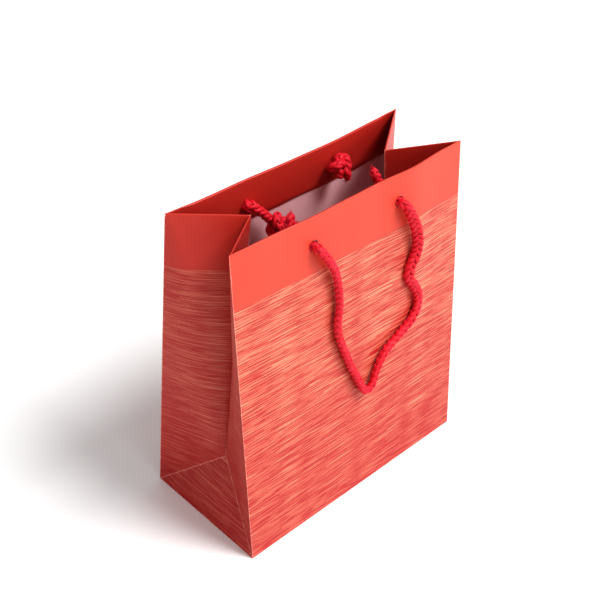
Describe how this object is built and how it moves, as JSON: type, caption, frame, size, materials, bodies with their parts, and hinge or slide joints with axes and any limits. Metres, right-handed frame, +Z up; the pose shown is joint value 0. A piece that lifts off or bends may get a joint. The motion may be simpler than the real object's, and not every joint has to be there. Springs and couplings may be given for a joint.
{
  "type": "gift bag",
  "caption": "Small upright paper gift bag with pleated sides, a card-stiffened turned top and knotted braided cord handles, mouth half open.",
  "frame": {"origin": "centre of the base's underside", "axes": "+X along the width, +Y from the front panel to the back panel, +Z up out of the mouth"},
  "size_m": [0.16, 0.0798, 0.1893],
  "materials": {
    "printed_paper": "semi-gloss art paper, printed with fine pale and dark red streaks under a plain coral band; plain white inside",
    "turned_edge": "the same art paper, plain red, turned in and glued",
    "plain_card": "uncoated off-white card",
    "handle_cord": "glossy crimson braided cord"
  },
  "bodies": {
    "base": {"bottom_front_flap": "printed_paper", "bottom_back_flap": "printed_paper", "bottom_left_flap": "printed_paper", "bottom_right_flap": "printed_paper", "base_board": "plain_card"},
    "front_wall": {"front_panel": "printed_paper", "front_card_strip": "plain_card", "front_top_hem": "turned_edge", "front_left_knot": "handle_cord", "front_right_knot": "handle_cord", "front_left_cord_tail": "handle_cord", "front_right_cord_tail": "handle_cord"},
    "back_wall": {"back_panel": "printed_paper", "back_card_strip": "plain_card", "back_top_hem": "turned_edge", "glue_seam": "printed_paper", "back_left_knot": "handle_cord", "back_right_knot": "handle_cord", "back_left_cord_tail": "handle_cord", "back_right_cord_tail": "handle_cord"},
    "front_handle": {"front_handle_cord": "handle_cord"},
    "back_handle": {"back_handle_cord": "handle_cord"},
    "left_base_fold": {"left_base_triangle": "printed_paper"},
    "left_front_fold": {"left_gusset_front_lower": "printed_paper"},
    "left_front_pleat": {"left_gusset_front_upper": "printed_paper", "left_gusset_front_hem": "turned_edge"},
    "left_back_fold": {"left_gusset_back_lower": "printed_paper"},
    "left_back_pleat": {"left_gusset_back_upper": "printed_paper", "left_gusset_back_hem": "turned_edge"},
    "right_base_fold": {"right_base_triangle": "printed_paper"},
    "right_front_fold": {"right_gusset_front_lower": "printed_paper"},
    "right_front_pleat": {"right_gusset_front_upper": "printed_paper", "right_gusset_front_hem": "turned_edge"},
    "right_back_fold": {"right_gusset_back_lower": "printed_paper"},
    "right_back_pleat": {"right_gusset_back_upper": "printed_paper", "right_gusset_back_hem": "turned_edge"}
  },
  "joints": [
    {"name": "front_wall_fold", "type": "hinge", "parent": "base", "child": "front_wall", "pos_m": [0, -0.04, 0], "axis": [1, 0, 0], "range_deg": [-2.5, 2.5]},
    {"name": "back_wall_fold", "type": "hinge", "parent": "base", "child": "back_wall", "pos_m": [0, 0.04, 0], "axis": [1, 0, 0], "range_deg": [-2.55, 2.55]},
    {"name": "left_base_fold_turn", "type": "hinge", "parent": "base", "child": "left_base_fold", "pos_m": [-0.08, 0, 0], "axis": [0, 1, 0], "range_deg": [-5.58, 5.58]},
    {"name": "left_front_fold_turn", "type": "hinge", "parent": "front_wall", "child": "left_front_fold", "pos_m": [-0.08, -0.04, 0], "axis": [0, 0.0895, 0.996], "range_deg": [-5.58, 5.58]},
    {"name": "left_front_pleat_turn", "type": "hinge", "parent": "left_front_fold", "child": "left_front_pleat", "pos_m": [-0.06379, 0, 0.03657], "axis": [-0.1044, -0.1482, 0.9834], "range_deg": [-8.99, 8.99]},
    {"name": "left_back_fold_turn", "type": "hinge", "parent": "back_wall", "child": "left_back_fold", "pos_m": [-0.08, 0.04, 0], "axis": [0, -0.0895, 0.996], "range_deg": [-5.58, 5.58]},
    {"name": "left_back_pleat_turn", "type": "hinge", "parent": "left_back_fold", "child": "left_back_pleat", "pos_m": [-0.06379, 0, 0.03657], "axis": [-0.1044, 0.1482, 0.9834], "range_deg": [-8.99, 8.99]},
    {"name": "right_base_fold_turn", "type": "hinge", "parent": "base", "child": "right_base_fold", "pos_m": [0.08, 0, 0], "axis": [0, 1, 0], "range_deg": [-5.58, 5.58]},
    {"name": "right_front_fold_turn", "type": "hinge", "parent": "front_wall", "child": "right_front_fold", "pos_m": [0.08, -0.04, 0], "axis": [0, 0.0895, 0.996], "range_deg": [-5.58, 5.58]},
    {"name": "right_front_pleat_turn", "type": "hinge", "parent": "right_front_fold", "child": "right_front_pleat", "pos_m": [0.06379, 0, 0.03657], "axis": [0.1044, -0.1482, 0.9834], "range_deg": [-8.99, 8.99]},
    {"name": "right_back_fold_turn", "type": "hinge", "parent": "back_wall", "child": "right_back_fold", "pos_m": [0.08, 0.04, 0], "axis": [0, -0.0895, 0.996], "range_deg": [-5.58, 5.58]},
    {"name": "right_back_pleat_turn", "type": "hinge", "parent": "right_back_fold", "child": "right_back_pleat", "pos_m": [0.06379, 0, 0.03657], "axis": [0.1044, 0.1482, 0.9834], "range_deg": [-8.99, 8.99]},
    {"name": "front_handle_swing", "type": "hinge", "parent": "front_wall", "child": "front_handle", "pos_m": [0, -0.03036, 0.17434], "axis": [-1, 0, 0], "range_deg": [0, 170]},
    {"name": "back_handle_swing", "type": "hinge", "parent": "back_wall", "child": "back_handle", "pos_m": [0, 0.02737, 0.17407], "axis": [1, 0, 0], "range_deg": [0, 170]}
  ],
  "couplings": [
    {"joint": "back_wall_fold", "follows": "front_wall_fold", "ratio": -1},
    {"joint": "left_base_fold_turn", "follows": "front_wall_fold", "ratio": -2.21},
    {"joint": "left_front_fold_turn", "follows": "front_wall_fold", "ratio": 2.211},
    {"joint": "left_front_pleat_turn", "follows": "front_wall_fold", "ratio": 3.578},
    {"joint": "left_back_fold_turn", "follows": "front_wall_fold", "ratio": -2.211},
    {"joint": "left_back_pleat_turn", "follows": "front_wall_fold", "ratio": -3.578},
    {"joint": "right_base_fold_turn", "follows": "front_wall_fold", "ratio": 2.21},
    {"joint": "right_front_fold_turn", "follows": "front_wall_fold", "ratio": -2.211},
    {"joint": "right_front_pleat_turn", "follows": "front_wall_fold", "ratio": -3.578},
    {"joint": "right_back_fold_turn", "follows": "front_wall_fold", "ratio": 2.211},
    {"joint": "right_back_pleat_turn", "follows": "front_wall_fold", "ratio": 3.578}
  ]
}
